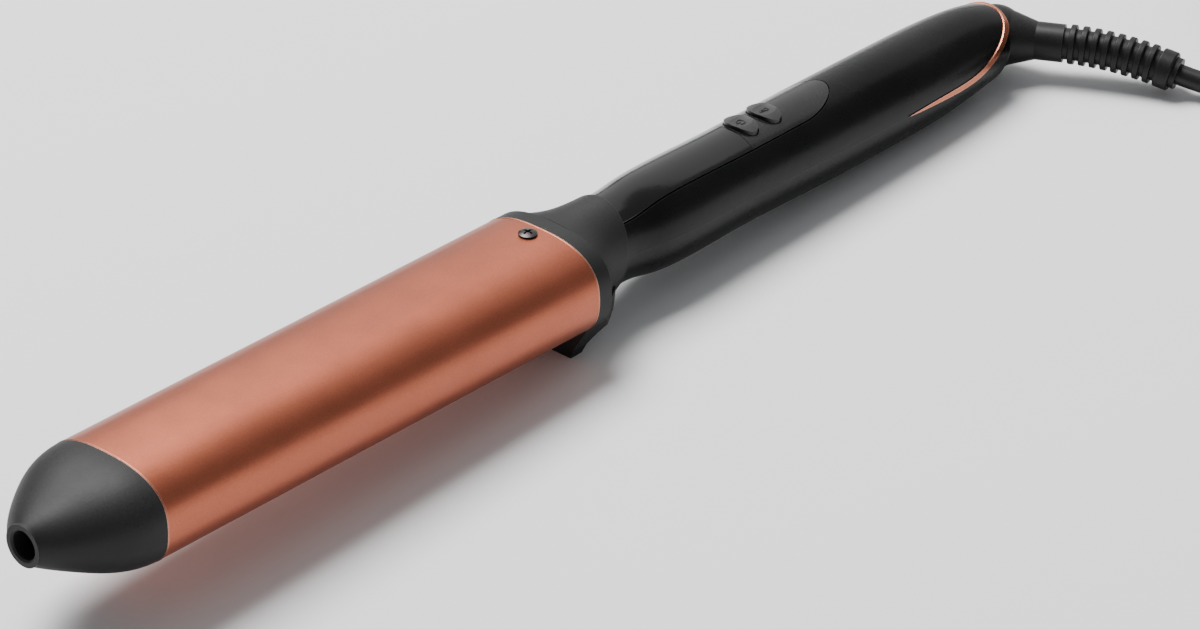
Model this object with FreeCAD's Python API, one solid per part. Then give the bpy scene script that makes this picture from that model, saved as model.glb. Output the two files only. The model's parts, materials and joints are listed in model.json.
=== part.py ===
import FreeCAD, Part
import math
import os

# An oval-barrel curling iron. Everything on the wand is drawn along its own axis: x = 0 at the front edge of
# the barrel, +X towards the cord end, +Z up and y = 0 the plane of symmetry. settle() then leans the wand
# back on its stand foot, as it rests on a table. The free cord is drawn in the table's frame.

Vec = FreeCAD.Vector
X_AXIS = Vec(1, 0, 0)
Y_AXIS = Vec(0, 1, 0)
Z_AXIS = Vec(0, 0, 1)

# ---- driving dimensions, millimetres -------------------------------------------------------------------
BARREL_LENGTH = 150.0
BARREL_HALF_W = 20.3
BARREL_HALF_H = 13.4
BARREL_WALL = 0.8
BARREL_FIT = 0.1             # play between the barrel and what slides into it
BARREL_SCREW_X = 145.2
OVAL_POWER = 2.56            # how square the barrel's oval is: 2 would be an ellipse
TIP_LENGTH = 27.5
TIP_BORE_R = 3.8
TIP_BORE_FLOOR = -9.0
TIP_WALL = 1.7

SPREADER_X0 = 52.0
SPREADER_X1 = 130.0
HEATER_HALF_H = 1.6
LEAD_Y = 4.8                 # the heater leads pass each side of the screw posts

FOOT_X = 150.0               # front face of the stand foot
FOOT_DROP = 20.3             # wand axis to the foot's underside
FOOT_THICK = 3.6
FOOT_HALF_W = 10.6
REST_X = 291.0               # where the underside of the handle touches the table
REST_DROP = 12.97

SEAM_X = 169.4               # collar to handle joint, on the axis
SEAM_SLANT = 0.249           # x per z: the joint leans towards the rear
SEAM_GAP = 0.35
SHELL_WALL = 2.6
SCREW_X = (182.5, 261.0, 285.0)

PANEL_HALF_W = 7.8
PANEL_STRAIGHT_X = 243.0
PANEL_END_X = 258.8
PANEL_SPLIT_X = 222.2
PANEL_THICK = 1.7
PANEL_GROOVE = 0.35

BUTTON_HALF_X = 3.3
BUTTON_HALF_Y = 5.2
BUTTON_PROUD = 1.0
BUTTON_TRAVEL = 0.8
POWER_X = 226.2
TEMPERATURE_X = 235.2
BUTTON_PLAY = 0.3

BOARD_TOP = 4.0
BOARD_THICK = 1.6
BOARD_X0 = 187.0
BOARD_X1 = 250.0
BOARD_HALF_W = 8.2
BOARD_SCREWS = ((197.5, 5.6), (246.5, -5.2))
LAMP_X = (196.0, 202.5, 209.0, 215.5)

PARTING_BEND_X = 303.0       # the joint of the two shells is flat up to here, then rises over the swivel
PARTING_BEND_R = 38.1
TRIM_TIP_X = 279.3
TRIM_PROUD = 0.3
TRIM_DEPTH = 0.9

BALL_X = 331.5
BALL_R = 8.7
DISH_R = 9.6
SOCKET_R = 9.85
BUSH_R = 5.5
BUSH_PLAY = 0.06
BUSH_FRONT_X = 291.0
BRUSH_X = (305.5, 309.5)
LUG_HALF_THICK = 2.0
LUG_HALF_W = 3.0
PIN_R = 1.5
REST_TILT = 60.0             # the cord guard points this far to the side of straight back

NECK_R = 5.25
NECK_END = 19.0              # distances along the guard, from the ball's centre
RIB_COUNT = 9
RIB_PITCH = 3.15
RIB_R = 5.45
RIB_THICK = 1.7
RIB_CORE_R = 4.35
FIRST_RIB = 21.4
BEND_LENGTH = 27.0
END_COLLAR = 5.5
END_AZIMUTH = 71.0           # where the guard's small end points: to the side and down
END_DROOP = 11.0

CORD_R = 2.9
CORD_LENGTH = 1800.0
COIL_MID_R = 29.0
COIL_HALF_BAND = 8.9
COIL_HEIGHT = 17.6
COIL_X = 273.0
COIL_Y = -47.0
TIE_HALF_W = 4.0
TIE_THICK = 1.2
TABLE_GAP = 0.05
FLOOR_Z = CORD_R + TABLE_GAP

PLUG_X = 314.9               # where the cord enters the plug
PLUG_Y = -40.1
PLUG_HALF_THICK = 6.9
PLUG_Z = PLUG_HALF_THICK + TABLE_GAP
PLUG_BOOT = 13.0
PLUG_BODY = 33.0
PLUG_HALF_W = 17.6
PIN_LENGTH = 19.0
PIN_SPACING = 18.6
PLUG_PIN_R = 2.0

# Half width, height over the axis and depth under it, down the length of the handle.
HANDLE = [
    (164.0, 11.8, 13.30, 13.30), (185.0, 12.2, 13.40, 13.40), (215.0, 12.7, 13.50, 13.50),
    (245.0, 13.0, 13.60, 13.60), (270.0, 13.1, 13.65, 13.55), (287.0, 13.1, 13.65, 13.15),
    (300.0, 12.9, 13.60, 12.40), (311.0, 12.2, 13.35, 11.00), (319.0, 11.4, 12.70, 9.90),
    (325.0, 10.8, 11.60, 9.30), (331.0, 10.2, 9.70, 9.00),
]


# ---- drawing helpers -----------------------------------------------------------------------------------
def section(x, half_w, top, bottom, power=2.0, count=32):
    """One closed superellipse across the wand."""
    points = []
    for i in range(count):
        angle = 2.0 * math.pi * i / count
        c = math.cos(angle)
        s = math.sin(angle)
        height = top if s > 0 else bottom
        y = math.copysign(half_w * abs(c) ** (2.0 / power), c)
        z = math.copysign(height * abs(s) ** (2.0 / power), s)
        points.append(Vec(x, y, z))
    curve = Part.BSplineCurve()
    curve.interpolate(Points=points, PeriodicFlag=True)
    return Part.Wire([curve.toShape()])


def loft(wires, straight=False):
    return Part.makeLoft(wires, True, straight)


def oval_bar(x0, x1, half_w, half_h, power=OVAL_POWER):
    """A straight bar with the barrel's kind of section."""
    face = Part.Face(section(x0, half_w, half_h, half_h, power))
    return face.extrude(Vec(x1 - x0, 0, 0))


def inside_bar(x0, x1, inset=BARREL_FIT):
    """A straight bar that slides into the barrel."""
    return oval_bar(x0, x1, BARREL_HALF_W - BARREL_WALL - inset, BARREL_HALF_H - BARREL_WALL - inset)


def block(x0, x1, y0, y1, z0, z1):
    return Part.makeBox(x1 - x0, y1 - y0, z1 - z0, Vec(x0, y0, z0))


def rod(start, axis, radius, length):
    return Part.makeCylinder(radius, length, start, axis)


def side_prism(points, half_w=40.0):
    """A side-view outline, swept across the wand."""
    corners = [Vec(x, -half_w, z) for x, z in points]
    wire = Part.makePolygon(corners + [corners[0]])
    return Part.Face(wire).extrude(Vec(0, 2.0 * half_w, 0))


def ellipse_prism(x, half_x, half_y, z0, z1):
    """An upright bar of elliptical plan, long across the wand."""
    curve = Part.Ellipse(Vec(x, half_y, z0), Vec(x + half_x, 0, z0), Vec(x, 0, z0))
    return Part.Face(Part.Wire([curve.toShape()])).extrude(Vec(0, 0, z1 - z0))


def joined(shapes):
    result = shapes[0].fuse(shapes[1:]) if len(shapes) > 1 else shapes[0]
    return result.removeSplitter()


def cross_screw(head, axis, head_r, head_h, shank_r, length):
    """A cross-head screw: head is the centre of its top face, and axis points into the work."""
    body = rod(head, axis, head_r, head_h)
    dome_r = 2.6 * head_r
    body = body.common(Part.makeSphere(dome_r, head + axis * dome_r))
    slot = head_r * 0.62
    turn = FreeCAD.Rotation(Z_AXIS, axis)
    for size in ((slot, head_r * 0.13), (head_r * 0.13, slot)):
        cut = Part.makeBox(2 * size[0], 2 * size[1], head_h * 0.6, Vec(-size[0], -size[1], 0))
        cut.Placement = FreeCAD.Placement(head, turn)
        body = body.cut(cut)
    return joined([body, rod(head + axis * head_h, axis, shank_r, length)])


def seam_side(offset, behind):
    """The half space behind or in front of the slanted joint between collar and handle."""
    x = SEAM_X + offset
    reach = 40.0
    far = 500.0 if behind else -500.0
    points = [
        (x - reach * SEAM_SLANT, -reach), (x + reach * SEAM_SLANT, reach),
        (x + far, reach), (x + far, -reach),
    ]
    return side_prism(points)


# ---- how the wand stands on the table ------------------------------------------------------------------
LEAN = math.atan2(FOOT_DROP - REST_DROP, REST_X - FOOT_X)


def table_height(x):
    """The table's height in the wand's frame, under a point of its axis."""
    return -FOOT_DROP + (x - FOOT_X) * math.tan(LEAN)


TILT_ONLY = FreeCAD.Placement(Vec(0, 0, 0), FreeCAD.Rotation(Y_AXIS, math.degrees(LEAN)))
TIP_POINT = TILT_ONLY.multVec(Vec(-TIP_LENGTH, 0, 0))
REAR_POINT = TILT_ONLY.multVec(Vec(BALL_X + LUG_HALF_W, 0, 0))
FOOT_POINT = TILT_ONLY.multVec(Vec(FOOT_X, 0, -FOOT_DROP))
SHIFT = Vec(-(TIP_POINT.x + REAR_POINT.x) / 2.0, 0, -FOOT_POINT.z)
SETTLE = FreeCAD.Placement(SHIFT, TILT_ONLY.Rotation)


def save(node, shape):
    """Write a sub-part that is already in the table's frame."""
    if not shape.isValid():
        print("INVALID", node)
    shape.exportStep("parts/" + node + ".step")
    print(node, "solids", len(shape.Solids), "cm3", round(shape.Volume / 1000.0, 3))


def settle(node, shape):
    """Lean a sub-part of the wand back on the stand foot and write it."""
    save(node, shape.transformed(SETTLE.toMatrix(), True))


# ---- tip -----------------------------------------------------------------------------------------------
def tip_cap():
    outline = [
        (0.0, 20.3, 13.4, 2.56), (-3.0, 20.1, 13.25, 2.56), (-9.0, 18.7, 12.3, 2.5),
        (-16.0, 15.2, 10.1, 2.35), (-21.5, 11.3, 7.9, 2.2), (-25.5, 7.6, 6.1, 2.05),
        (-TIP_LENGTH, 5.1, 5.0, 2.0),
    ]
    outer = loft([section(x, w, h, h, n) for x, w, h, n in outline])
    hollow_depth = -19.0
    inner = loft([
        section(x, w - TIP_WALL, h - TIP_WALL, h - TIP_WALL, n)
        for x, w, h, n in outline if x > hollow_depth
    ])
    boss = rod(Vec(-TIP_LENGTH, 0, 0), X_AXIS, TIP_BORE_R + 1.8, TIP_LENGTH + 1.0)
    spigot = inside_bar(0, 9.0).cut(inside_bar(0, 9.0, 1.6))
    cap = joined([outer.cut(inner), boss, spigot])
    bore = rod(Vec(-TIP_LENGTH - 1.0, 0, 0), X_AXIS, TIP_BORE_R, TIP_LENGTH + 1.0 + TIP_BORE_FLOOR)
    mouth = Part.makeCone(TIP_BORE_R + 0.5, TIP_BORE_R, 0.5, Vec(-TIP_LENGTH, 0, 0), X_AXIS)
    screw_way = rod(Vec(TIP_BORE_FLOOR - 1.0, 0, 0), X_AXIS, 1.6, 20.0)
    settle("tip_cap", cap.cut(bore).cut(mouth).cut(screw_way))
    settle("tip_screw", cross_screw(Vec(TIP_BORE_FLOOR - 2.0, 0, 0), X_AXIS, 2.8, 2.0, 1.45, 15.0))


# ---- barrel and heater ---------------------------------------------------------------------------------
def barrel_tube():
    outer = oval_bar(0, BARREL_LENGTH, BARREL_HALF_W, BARREL_HALF_H)
    inner = oval_bar(0, BARREL_LENGTH, BARREL_HALF_W - BARREL_WALL, BARREL_HALF_H - BARREL_WALL)
    screw_way = rod(Vec(BARREL_SCREW_X, 0, 0), Z_AXIS, 1.3, 20.0)
    settle("barrel_tube", outer.cut(inner).cut(screw_way))


def insulator(node, x0, x1, half_w, half_h, holes):
    plate = oval_bar(x0, x1, half_w, half_h)
    for y, radius in holes:
        plate = plate.cut(rod(Vec(x0 - 1.0, y, 0), X_AXIS, radius, x1 - x0 + 2.0))
    settle(node, plate)


def heat_spreaders():
    """Two pressed aluminium half ovals that carry the heat from the flat heater to the barrel."""
    half_w = BARREL_HALF_W - BARREL_WALL - BARREL_FIT
    half_h = BARREL_HALF_H - BARREL_WALL - BARREL_FIT
    sheet = 0.8
    for node, side in (("upper_heat_spreader", 1), ("lower_heat_spreader", -1)):
        outer = oval_bar(SPREADER_X0, SPREADER_X1, half_w, half_h)
        inner = oval_bar(SPREADER_X0, SPREADER_X1, half_w - sheet, half_h - sheet)
        keep = sorted((side * HEATER_HALF_H, side * 40.0))
        hollow = sorted((side * (HEATER_HALF_H + sheet), side * 40.0))
        half = outer.common(block(0, 200, -40, 40, keep[0], keep[1]))
        settle(node, half.cut(inner.common(block(0, 200, -40, 40, hollow[0], hollow[1]))))


def clamp_springs():
    """A wavy leaf spring each side of the heater, which push the spreaders out against the barrel."""
    wave = 6
    pitch = 11.0
    leaf = 0.4
    strips = []
    for y in (-15.5, 15.5):
        upper = []
        lower = []
        for i in range(wave + 1):
            x = SPREADER_X0 + 5.0 + pitch * i
            z = (HEATER_HALF_H - leaf) * (1 if i % 2 else -1)
            upper.append((x, z + leaf))
            lower.append((x, z))
        strip = side_prism(upper + lower[::-1], 2.0)
        strip.translate(Vec(0, y, 0))
        strips.append(strip)
    settle("clamp_springs", Part.makeCompound(strips))


def heater():
    settle("ceramic_heater", block(58, 124, -8.0, 8.0, -HEATER_HALF_H, HEATER_HALF_H))
    bead = rod(Vec(125.2, 9.6, 0), X_AXIS, 1.3, 4.0)
    legs = block(129.2, 137.6, 9.2, 10.0, -0.8, 0.8)
    settle("temperature_sensor", joined([bead, legs]))
    fuse = rod(Vec(131.0, -9.6, 0), X_AXIS, 1.5, 6.0)
    fuse_lead = rod(Vec(125.0, -9.6, 0), X_AXIS, 0.45, 13.5)
    settle("thermal_fuse", joined([fuse, fuse_lead]))
    leads = []
    for y in (-LEAD_Y, LEAD_Y):
        run = rod(Vec(124, y, 0), X_AXIS, 0.9, 68.0)
        elbow = Part.makeSphere(0.9, Vec(192, y, 0))
        rise = rod(Vec(192, y, 0), Z_AXIS, 0.9, BOARD_TOP - BOARD_THICK)
        leads.append(joined([run, elbow, rise]))
    settle("heater_leads", Part.makeCompound(leads))


# ---- collar and stand foot -----------------------------------------------------------------------------
def foot_blank():
    """The foot's outline seen along the wand, cut to the thickness it has seen from the side."""
    outline = [
        (-19.2, -4.5), (-FOOT_HALF_W - 0.9, -FOOT_DROP + 2.6), (-FOOT_HALF_W + 1.2, -FOOT_DROP - 4.0),
        (FOOT_HALF_W - 1.2, -FOOT_DROP - 4.0), (FOOT_HALF_W + 0.9, -FOOT_DROP + 2.6), (19.2, -4.5),
    ]
    corners = [Vec(FOOT_X, y, z) for y, z in outline]
    web = Part.Face(Part.makePolygon(corners + [corners[0]])).extrude(Vec(18.0, 0, 0))
    back = Part.Arc(Vec(FOOT_X + FOOT_THICK, 0, -FOOT_DROP - 4.0), Vec(FOOT_X + 5.8, 0, -16.4),
                    Vec(FOOT_X + 14.5, 0, -11.2))
    edges = [
        Part.LineSegment(Vec(FOOT_X, 0, -FOOT_DROP - 4.0), back.StartPoint).toShape(),
        back.toShape(),
        Part.LineSegment(back.EndPoint, Vec(FOOT_X + 14.5, 0, -4.5)).toShape(),
        Part.LineSegment(Vec(FOOT_X + 14.5, 0, -4.5), Vec(FOOT_X, 0, -4.5)).toShape(),
        Part.LineSegment(Vec(FOOT_X, 0, -4.5), Vec(FOOT_X, 0, -FOOT_DROP - 4.0)).toShape(),
    ]
    profile = Part.Face(Part.Wire(edges)).extrude(Vec(0, 60.0, 0))
    profile.translate(Vec(0, -30.0, 0))
    neck_flare = loft([
        section(FOOT_X, 19.6, 30, 30, 2.0), section(FOOT_X + 5.0, 18.0, 30, 30, 2.0),
        section(FOOT_X + 15.0, 12.4, 30, 30, 2.0),
    ])
    return web.common(profile).common(neck_flare)


def collar():
    flange = oval_bar(BARREL_LENGTH, BARREL_LENGTH + 5.4, BARREL_HALF_W, BARREL_HALF_H)
    rear_edges = [e for e in flange.Edges if abs(e.BoundBox.XMin - BARREL_LENGTH - 5.4) < 1e-4
                  and e.BoundBox.XLength < 1e-4]
    flange = flange.makeChamfer(0.9, rear_edges)
    neck = loft([
        section(155.0, 18.9, 13.15, 13.15, 2.4), section(157.2, 16.6, 13.1, 13.1, 2.3),
        section(160.5, 14.4, 13.1, 13.1, 2.15), section(165.0, 12.8, 13.2, 13.2, 2.05),
        section(171.0, 12.05, 13.35, 13.35, 2.0), section(178.0, 12.1, 13.4, 13.4, 2.0),
    ])
    neck = neck.common(seam_side(-SEAM_GAP / 2, False))
    front_spigot = inside_bar(137.0, BARREL_LENGTH + 1.0)
    rear_spigot = handle_form(SHELL_WALL + 0.1).common(block(166, 178.6, -40, 40, -40, 40))
    foot = foot_blank().common(side_prism([
        (100, table_height(100)), (200, table_height(200)), (200, 40), (100, 40)]))
    stations = [
        (136.0, 17.2, 10.30, 2.5), (144.0, 17.0, 10.30, 2.5), (152.0, 15.0, 10.25, 2.4),
        (160.0, 10.8, 10.10, 2.2), (168.0, 8.6, 9.60, 2.0), (176.0, 8.1, 9.30, 2.0), (184.0, 8.0, 9.20, 2.0),
    ]
    channel = loft([section(x, w, h, h, n) for x, w, h, n in stations])
    post = rod(Vec(BARREL_SCREW_X, 0, 9.6), Z_AXIS, 3.0, 4.0).common(inside_bar(137.0, BARREL_LENGTH))
    hollowed = [piece.cut(channel) for piece in (flange, neck, front_spigot, rear_spigot, foot)]
    body = hollowed[0].fuse(hollowed[1:] + [post]).cut(rod(Vec(BARREL_SCREW_X, 0, 8.0), Z_AXIS, 1.2, 12.0))
    settle("collar", body)
    screw_head = Vec(BARREL_SCREW_X, 0, BARREL_HALF_H + 1.08)
    settle("barrel_screw", cross_screw(screw_head, -Z_AXIS, 2.45, 1.05, 1.2, 4.0))


# ---- handle --------------------------------------------------------------------------------------------
def handle_form(inset):
    """The handle's outside, drawn in by inset."""
    return loft([section(x, w - inset, t - inset, b - inset) for x, w, t, b in HANDLE])


def parting_point(turn, offset=0.0):
    """A point on the risen stretch of the shells' joint, turn radians round its bend."""
    radius = PARTING_BEND_R - offset
    return Vec(PARTING_BEND_X + radius * math.sin(turn), 0, PARTING_BEND_R - radius * math.cos(turn))


def above_parting():
    last = 0.98
    bend = Part.Arc(parting_point(0.0), parting_point(last / 2), parting_point(last))
    high = 40.0
    edges = [
        Part.LineSegment(Vec(100, 0, 0), bend.StartPoint).toShape(),
        bend.toShape(),
        Part.LineSegment(bend.EndPoint, Vec(bend.EndPoint.x, 0, high)).toShape(),
        Part.LineSegment(Vec(bend.EndPoint.x, 0, high), Vec(100, 0, high)).toShape(),
        Part.LineSegment(Vec(100, 0, high), Vec(100, 0, 0)).toShape(),
    ]
    region = Part.Face(Part.Wire(edges)).extrude(Vec(0, 80.0, 0))
    region.translate(Vec(0, -40.0, 0))
    return region


def rear_cut():
    """What lies behind the slanted mouth that the swivel ball looks out of."""
    return side_prism([(315.75, -16.8), (331.9, 17.4), (370, 17.4), (370, -16.8)])


def trim_band():
    """The trim's outline seen from the side: a blade that follows the shells' joint up over the ball."""
    flat = [(TRIM_TIP_X, 0.0), (287.0, 0.42), (295.0, 0.68), (PARTING_BEND_X, 0.82)]
    turns = [0.2, 0.4, 0.6, 0.8, 0.95]
    upper = [Vec(x, 0, 0.1 + w) for x, w in flat] + [parting_point(t, 0.92) for t in turns]
    lower = [Vec(x, 0, 0.1 - w) for x, w in flat] + [parting_point(t, -0.75) for t in turns]
    edges = []
    for points in (upper, lower):
        curve = Part.BSplineCurve()
        curve.interpolate(points)
        edges.append(curve.toShape())
    edges.append(Part.LineSegment(upper[-1], lower[-1]).toShape())
    band = Part.Face(Part.Wire(Part.__sortEdges__(edges))).extrude(Vec(0, 80.0, 0))
    band.translate(Vec(0, -40.0, 0))
    return band


def rear_trim():
    strip = trim_band().common(handle_form(-TRIM_PROUD)).cut(handle_form(TRIM_DEPTH))
    ball_room = Part.makeSphere(SOCKET_R, Vec(BALL_X, 0, 0))
    return strip.cut(rear_cut()).cut(ball_room)


def panel_plan(grow):
    """The panel's plan: straight sides and a half-elliptical rear end."""
    half = PANEL_HALF_W + grow
    end = PANEL_END_X - PANEL_STRAIGHT_X + grow
    arc = Part.ArcOfEllipse(Part.Ellipse(Vec(PANEL_STRAIGHT_X, 0, 0), end, half), -math.pi / 2, math.pi / 2)
    start = Vec(150, -half, 0)
    finish = Vec(150, half, 0)
    edges = [
        Part.LineSegment(start, Vec(PANEL_STRAIGHT_X, -half, 0)).toShape(),
        arc.toShape(),
        Part.LineSegment(Vec(PANEL_STRAIGHT_X, half, 0), finish).toShape(),
        Part.LineSegment(finish, start).toShape(),
    ]
    return Part.Face(Part.Wire(edges)).extrude(Vec(0, 0, 40))


def brush(x):
    return block(x - 0.8, x + 0.8, -2.0, 2.0, BUSH_R + 1.2, 12.0)


def handle_shells():
    solid = handle_form(0.0).common(seam_side(SEAM_GAP / 2, True)).cut(rear_cut())
    inside = handle_form(SHELL_WALL)
    hollow = inside.common(block(150, 296, -40, 40, -40, 40))
    contact_room = inside.common(block(302, 312.5, -40, 40, -40, 40))
    bush_way = rod(Vec(280, 0, 0), X_AXIS, BUSH_R + BUSH_PLAY, 45.0)
    ball_room = Part.makeSphere(SOCKET_R, Vec(BALL_X, 0, 0))
    case = solid.cut(hollow).cut(contact_room).cut(bush_way).cut(ball_room).cut(rear_trim())

    pocket = panel_plan(PANEL_GROOVE).common(handle_form(-2.0).cut(handle_form(PANEL_THICK + 0.05)))
    window_way = block(180, 219, -4.0, 4.0, 8, 16)
    button_way = block(POWER_X - 5.2, TEMPERATURE_X + 5.2, -6.8, 6.8, 6, 16)
    upper = case.common(above_parting()).cut(pocket).cut(window_way).cut(button_way)
    lower = case.cut(above_parting())
    for x in SCREW_X:
        upper_post = rod(Vec(x, 0, 0), Z_AXIS, 2.8, 30).common(handle_form(SHELL_WALL - 0.2))
        upper = upper.fuse(upper_post).cut(rod(Vec(x, 0, -1), Z_AXIS, 1.15, 9.0))
        lower_post = rod(Vec(x, 0, -30), Z_AXIS, 3.6, 30).common(handle_form(0.3))
        lower = lower.fuse(lower_post).cut(rod(Vec(x, 0, -30), Z_AXIS, 2.5, 30 - 10.0))
        lower = lower.cut(rod(Vec(x, 0, -11), Z_AXIS, 1.15, 12.0))
    for x, y in BOARD_SCREWS:
        post = rod(Vec(x, y, -30), Z_AXIS, 2.4, 30 + BOARD_TOP - BOARD_THICK)
        lower = lower.fuse(post.common(handle_form(SHELL_WALL - 0.2)))
        lower = lower.cut(rod(Vec(x, y, BOARD_TOP - 8), Z_AXIS, 0.95, 10.0))
    for x in BRUSH_X:
        upper = upper.cut(brush(x))
    settle("handle_upper_shell", upper.removeSplitter())
    settle("handle_lower_shell", lower.removeSplitter())
    settle("rear_trim", rear_trim())
    screws = [cross_screw(Vec(x, 0, -12.0), Z_AXIS, 2.3, 2.0, 1.15, 14.0) for x in SCREW_X]
    settle("shell_screws", Part.makeCompound(screws))


# ---- panel, buttons and electronics --------------------------------------------------------------------
def panel():
    skin = panel_plan(0.0).common(handle_form(0.0).cut(handle_form(PANEL_THICK)))
    skin = skin.common(seam_side(SEAM_GAP / 2, True))
    window = skin.common(block(100, PANEL_SPLIT_X - 0.08, -40, 40, 0, 40))
    rear = skin.common(block(PANEL_SPLIT_X + 0.08, 300, -40, 40, 0, 40))
    for x in (POWER_X, TEMPERATURE_X):
        rear = rear.cut(ellipse_prism(x, BUTTON_HALF_X + BUTTON_PLAY, BUTTON_HALF_Y + BUTTON_PLAY, 0, 40))
    settle("indicator_window", window)
    settle("button_panel", rear)


def button(node, x):
    top = 13.5 + BUTTON_PROUD
    cap = ellipse_prism(x, BUTTON_HALF_X, BUTTON_HALF_Y, 9.0, 20.0).common(handle_form(-BUTTON_PROUD))
    dish_r = 16.0
    cap = cap.cut(Part.makeSphere(dish_r, Vec(x, 0, top + dish_r - 0.45)))
    flange = ellipse_prism(x, BUTTON_HALF_X + 0.7, BUTTON_HALF_Y + 0.7, 8.9, 9.7)
    settle(node, joined([cap, flange]))


def electronics():
    board = block(BOARD_X0, BOARD_X1, -BOARD_HALF_W, BOARD_HALF_W, BOARD_TOP - BOARD_THICK, BOARD_TOP)
    for x, y in BOARD_SCREWS:
        board = board.cut(rod(Vec(x, y, 0), Z_AXIS, 1.1, 10))
    settle("control_board", board)
    screws = [cross_screw(Vec(x, y, BOARD_TOP + 1.3), -Z_AXIS, 1.9, 1.3, 0.95, 5.5) for x, y in BOARD_SCREWS]
    settle("board_screws", Part.makeCompound(screws))
    switches = []
    for x in (POWER_X, TEMPERATURE_X):
        base = block(x - 3, x + 3, -3, 3, BOARD_TOP, BOARD_TOP + 3.4)
        switches.append(joined([base, rod(Vec(x, 0, BOARD_TOP + 3.4), Z_AXIS, 1.7, 0.6)]))
    settle("push_switches", Part.makeCompound(switches))
    lamps = [block(x - 1.6, x + 1.6, -1, 1, BOARD_TOP, BOARD_TOP + 1.5) for x in LAMP_X]
    settle("indicator_lamps", Part.makeCompound(lamps))
    guide = block(LAMP_X[0] - 2.5, LAMP_X[-1] + 2.5, -3.2, 3.2, BOARD_TOP + 1.5, 11.2)
    settle("light_guide", guide)
    under = BOARD_TOP - BOARD_THICK
    body = block(204, 214, -5, 5, under - 4.5, under)
    tab = block(214, 220, -5, 5, under - 4.5, under - 3.2).cut(rod(Vec(217.3, 0, -10), Z_AXIS, 1.7, 20))
    settle("triac", joined([body, tab]))
    settle("suppression_capacitor", block(224, 237, -3, 3, under - 11.0, under))


# ---- swivel --------------------------------------------------------------------------------------------
def swivel():
    """The bush turns in the handle; the ball on the end of the guard tilts on the bush's lug."""
    ball = Vec(BALL_X, 0, 0)
    front = BALL_X - DISH_R + 0.3
    shank = rod(Vec(BUSH_FRONT_X, 0, 0), X_AXIS, BUSH_R, front - BUSH_FRONT_X)
    shank = shank.cut(rod(Vec(BUSH_FRONT_X - 1, 0, 0), X_AXIS, 2.4, 26.0))
    dish = Part.makeSphere(DISH_R, ball).cut(Part.makeSphere(BALL_R + 0.25, ball))
    dish = dish.common(block(300, BALL_X - 4.2, -20, 20, -20, 20))
    lug = block(front - 0.4, BALL_X, -LUG_HALF_W, LUG_HALF_W, -LUG_HALF_THICK, LUG_HALF_THICK)
    eye = rod(Vec(BALL_X, 0, -LUG_HALF_THICK), Z_AXIS, LUG_HALF_W, 2 * LUG_HALF_THICK)
    groove = rod(Vec(293.0, 0, 0), X_AXIS, 9.0, 1.0).cut(rod(Vec(293.0, 0, 0), X_AXIS, 4.7, 1.0))
    bush = joined([shank, dish, lug, eye]).cut(groove)
    bush = bush.cut(rod(Vec(BALL_X, 0, -10), Z_AXIS, PIN_R, 20))
    settle("swivel_bush", bush)
    clip = rod(Vec(293.0, 0, 0), X_AXIS, 8.0, 1.0).cut(rod(Vec(293.0, 0, 0), X_AXIS, 4.7, 1.0))
    settle("bush_clip", clip.cut(block(292, 296, -2.2, 2.2, -10, 0)))
    rings = []
    for x in BRUSH_X:
        ring = rod(Vec(x - 1.0, 0, 0), X_AXIS, BUSH_R + 1.1, 2.0)
        rings.append(ring.cut(rod(Vec(x - 1.0, 0, 0), X_AXIS, BUSH_R, 2.0)))
    settle("slip_rings", Part.makeCompound(rings))
    settle("contact_brushes", Part.makeCompound([brush(x) for x in BRUSH_X]))
    settle("swivel_pin", rod(Vec(BALL_X, 0, -6.6), Z_AXIS, PIN_R, 13.2))


def guard_axis():
    """Points and directions along the cord guard, as functions of the distance from the ball's centre."""
    tilt = math.radians(REST_TILT)
    droop = math.radians(END_DROOP)
    azimuth = math.radians(END_AZIMUTH)
    start = Vec(math.cos(tilt), -math.sin(tilt), 0)
    finish = Vec(math.cos(droop) * math.cos(azimuth), -math.cos(droop) * math.sin(azimuth), -math.sin(droop))
    turn = start.getAngle(finish)
    radius = BEND_LENGTH / turn
    across = finish - start * start.dot(finish)
    across.normalize()
    bend_start = Vec(BALL_X, 0, 0) + start * NECK_END

    def at(distance):
        past = distance - NECK_END
        if past <= 0:
            return Vec(BALL_X, 0, 0) + start * distance, start
        angle = min(past / radius, turn)
        point = bend_start + start * (radius * math.sin(angle)) + across * (radius * (1 - math.cos(angle)))
        heading = start * math.cos(angle) + across * math.sin(angle)
        return point + heading * max(0.0, past - BEND_LENGTH), heading

    return at


GUARD_END = NECK_END + BEND_LENGTH + END_COLLAR


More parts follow.
